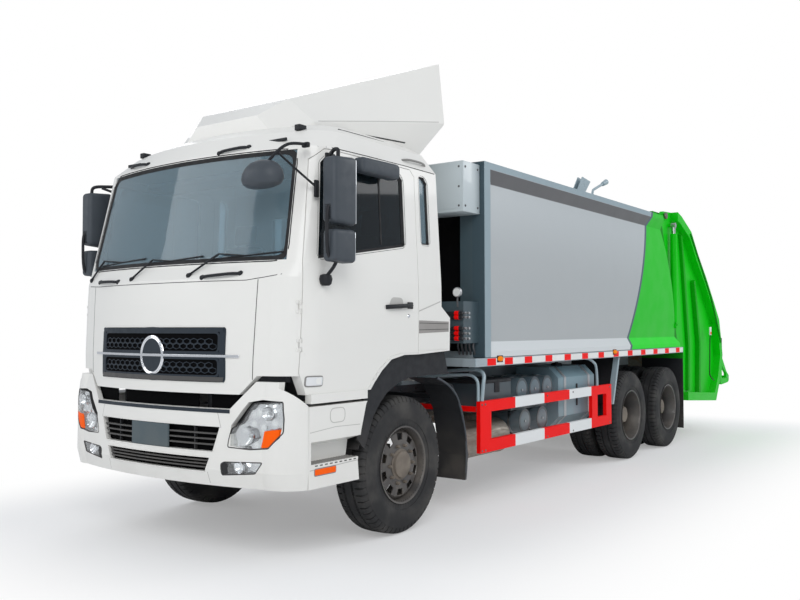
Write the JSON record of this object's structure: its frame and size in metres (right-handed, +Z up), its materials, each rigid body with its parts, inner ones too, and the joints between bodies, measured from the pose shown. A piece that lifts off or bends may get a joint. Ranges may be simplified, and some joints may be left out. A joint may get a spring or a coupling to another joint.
{
  "type": "rear-loading garbage truck",
  "caption": "Rear-loading refuse collection truck with a tilting cab, opening doors, steered wheels, ejector plate, lifting tailgate, packer blade and bin lifter.",
  "frame": {"origin": "middle of the whole truck's box, on the ground", "axes": "+Z up, -Y the way the truck drives, +X the truck's left side"},
  "size_m": [2.88, 10.7649, 3.92],
  "materials": {
    "chassis_grey": "satin",
    "cab_white": "gloss",
    "lamp_clear": "clear",
    "black_plastic": "matte",
    "guard_red": "gloss",
    "tank_grey": "satin",
    "muffler_steel": "brushed",
    "axle_black": "satin",
    "engine_iron": "matte",
    "body_grey": "satin",
    "body_green": "gloss",
    "interior_grey": "matte",
    "glass_tint": "clear",
    "grille_slate": "satin",
    "seat_fabric": "woven",
    "tyre": "matte",
    "rim_paint": "gloss",
    "wear_steel": "worn",
    "cylinder_paint": "satin",
    "cylinder_steel": "polished"
  },
  "bodies": {
    "chassis": {"chassis_frame": "chassis_grey", "front_bumper": "cab_white", "front_lamps": "lamp_clear", "cab_steps": "cab_white", "mudguards": "black_plastic", "side_guards": "guard_red", "tanks": "tank_grey", "muffler": "muffler_steel", "front_axle": "axle_black", "springs": "chassis_grey", "rear_axles": "axle_black", "engine_block": "engine_iron", "body_floor": "body_grey", "body_sides": "body_grey", "body_roof": "body_grey", "body_front": "body_grey", "body_rear_frame": "body_green"},
    "cab": {"cab_floor": "interior_grey", "cab_front": "cab_white", "cab_roof": "cab_white", "cab_back": "cab_white", "cab_sides": "cab_white", "cab_glass": "glass_tint", "front_grille": "grille_slate", "dashboard": "interior_grey", "seats": "seat_fabric", "roof_deflector": "cab_white", "front_mirror": "black_plastic", "steering_wheel": "interior_grey"},
    "door_left": {"door_left": "cab_white", "door_glass_left": "glass_tint", "mirror_left": "black_plastic"},
    "door_right": {"door_right": "cab_white", "door_glass_right": "glass_tint", "mirror_right": "black_plastic"},
    "knuckle_left": {"knuckle_left": "axle_black"},
    "knuckle_right": {"knuckle_right": "axle_black"},
    "wheel_front_left": {"tyre_front_left": "tyre", "rim_front_left": "rim_paint"},
    "wheel_front_right": {"tyre_front_right": "tyre", "rim_front_right": "rim_paint"},
    "wheels_rear1_left": {"tyres_rear1_left": "tyre", "rims_rear1_left": "rim_paint"},
    "wheels_rear1_right": {"tyres_rear1_right": "tyre", "rims_rear1_right": "rim_paint"},
    "wheels_rear2_left": {"tyres_rear2_left": "tyre", "rims_rear2_left": "rim_paint"},
    "wheels_rear2_right": {"tyres_rear2_right": "tyre", "rims_rear2_right": "rim_paint"},
    "ejector": {"ejector_plate": "wear_steel"},
    "tailgate": {"tailgate_sides": "body_green", "tailgate_cover": "body_green", "hopper_tray": "wear_steel"},
    "carriage": {"packer_carriage": "wear_steel"},
    "blade": {"sweep_blade": "wear_steel"},
    "lift_barrel_left": {"lift_barrel_left": "cylinder_paint"},
    "lift_barrel_right": {"lift_barrel_right": "cylinder_paint"},
    "lift_rod_left": {"lift_rod_left": "cylinder_steel"},
    "lift_rod_right": {"lift_rod_right": "cylinder_steel"},
    "bin_lifter": {"bin_lifter": "body_green"}
  },
  "joints": [
    {"name": "cab_tilt", "type": "hinge", "parent": "chassis", "child": "cab", "pos_m": [0, -5.2525, 1], "axis": [1, 0, 0], "range_deg": [0, 50]},
    {"name": "door_left_hinge", "type": "hinge", "parent": "cab", "child": "door_left", "pos_m": [1.192, -5.0855, 1.9], "axis": [0, 0, -1], "range_deg": [0, 70]},
    {"name": "door_right_hinge", "type": "hinge", "parent": "cab", "child": "door_right", "pos_m": [-1.192, -5.0855, 1.9], "axis": [0, 0, 1], "range_deg": [0, 70]},
    {"name": "steer_left", "type": "hinge", "parent": "chassis", "child": "knuckle_left", "pos_m": [0.9, -3.8675, 0.54], "axis": [0, 0, 1], "range_deg": [-35, 35]},
    {"name": "steer_right", "type": "hinge", "parent": "chassis", "child": "knuckle_right", "pos_m": [-0.9, -3.8675, 0.54], "axis": [0, 0, 1], "range_deg": [-35, 35]},
    {"name": "spin_front_left", "type": "hinge", "parent": "knuckle_left", "child": "wheel_front_left", "pos_m": [1.04, -3.8675, 0.54], "axis": [1, 0, 0], "continuous": true},
    {"name": "spin_front_right", "type": "hinge", "parent": "knuckle_right", "child": "wheel_front_right", "pos_m": [-1.04, -3.8675, 0.54], "axis": [1, 0, 0], "continuous": true},
    {"name": "spin_rear1_left", "type": "hinge", "parent": "chassis", "child": "wheels_rear1_left", "pos_m": [0.8875, 0.9325, 0.54], "axis": [1, 0, 0], "continuous": true},
    {"name": "spin_rear1_right", "type": "hinge", "parent": "chassis", "child": "wheels_rear1_right", "pos_m": [-0.8875, 0.9325, 0.54], "axis": [1, 0, 0], "continuous": true},
    {"name": "spin_rear2_left", "type": "hinge", "parent": "chassis", "child": "wheels_rear2_left", "pos_m": [0.8875, 2.2825, 0.54], "axis": [1, 0, 0], "continuous": true},
    {"name": "spin_rear2_right", "type": "hinge", "parent": "chassis", "child": "wheels_rear2_right", "pos_m": [-0.8875, 2.2825, 0.54], "axis": [1, 0, 0], "continuous": true},
    {"name": "ejector_slide", "type": "slide", "parent": "chassis", "child": "ejector", "axis": [0, 1, 0], "range_m": [0, 4.2]},
    {"name": "tailgate_lift", "type": "hinge", "parent": "chassis", "child": "tailgate", "pos_m": [0, 2.4325, 3.17], "axis": [1, 0, 0], "range_deg": [0, 85]},
    {"name": "lift_barrel_left_swing", "type": "hinge", "parent": "chassis", "child": "lift_barrel_left", "pos_m": [1.185, 2.6125, 1.65], "axis": [1, 0, 0], "range_deg": [-5, 5]},
    {"name": "lift_rod_left_slide", "type": "slide", "parent": "lift_barrel_left", "child": "lift_rod_left", "axis": [0, 0.0143, 0.9999], "range_m": [0, 0.36]},
    {"name": "lift_barrel_right_swing", "type": "hinge", "parent": "chassis", "child": "lift_barrel_right", "pos_m": [-1.185, 2.6125, 1.65], "axis": [1, 0, 0], "range_deg": [-5, 5]},
    {"name": "lift_rod_right_slide", "type": "slide", "parent": "lift_barrel_right", "child": "lift_rod_right", "axis": [0, 0.0143, 0.9999], "range_m": [0, 0.36]},
    {"name": "carriage_slide", "type": "slide", "parent": "tailgate", "child": "carriage", "axis": [0, 0.6157, -0.788], "range_m": [0, 0.75]},
    {"name": "blade_sweep", "type": "hinge", "parent": "carriage", "child": "blade", "pos_m": [0, 3.53075, 2.03101], "axis": [1, 0, 0], "range_deg": [0, 105]},
    {"name": "bin_lift", "type": "hinge", "parent": "tailgate", "child": "bin_lifter", "pos_m": [0, 4.9325, 1.12], "axis": [1, 0, 0], "range_deg": [0, 110]}
  ],
  "couplings": [
    {"joint": "steer_right", "follows": "steer_left", "ratio": 1},
    {"joint": "lift_rod_left_slide", "follows": "tailgate_lift", "m_per_rad": 0.2145},
    {"joint": "lift_rod_right_slide", "follows": "tailgate_lift", "m_per_rad": 0.2145},
    {"joint": "lift_barrel_left_swing", "follows": "tailgate_lift", "ratio": 0.0095},
    {"joint": "lift_barrel_right_swing", "follows": "tailgate_lift", "ratio": 0.0095}
  ]
}
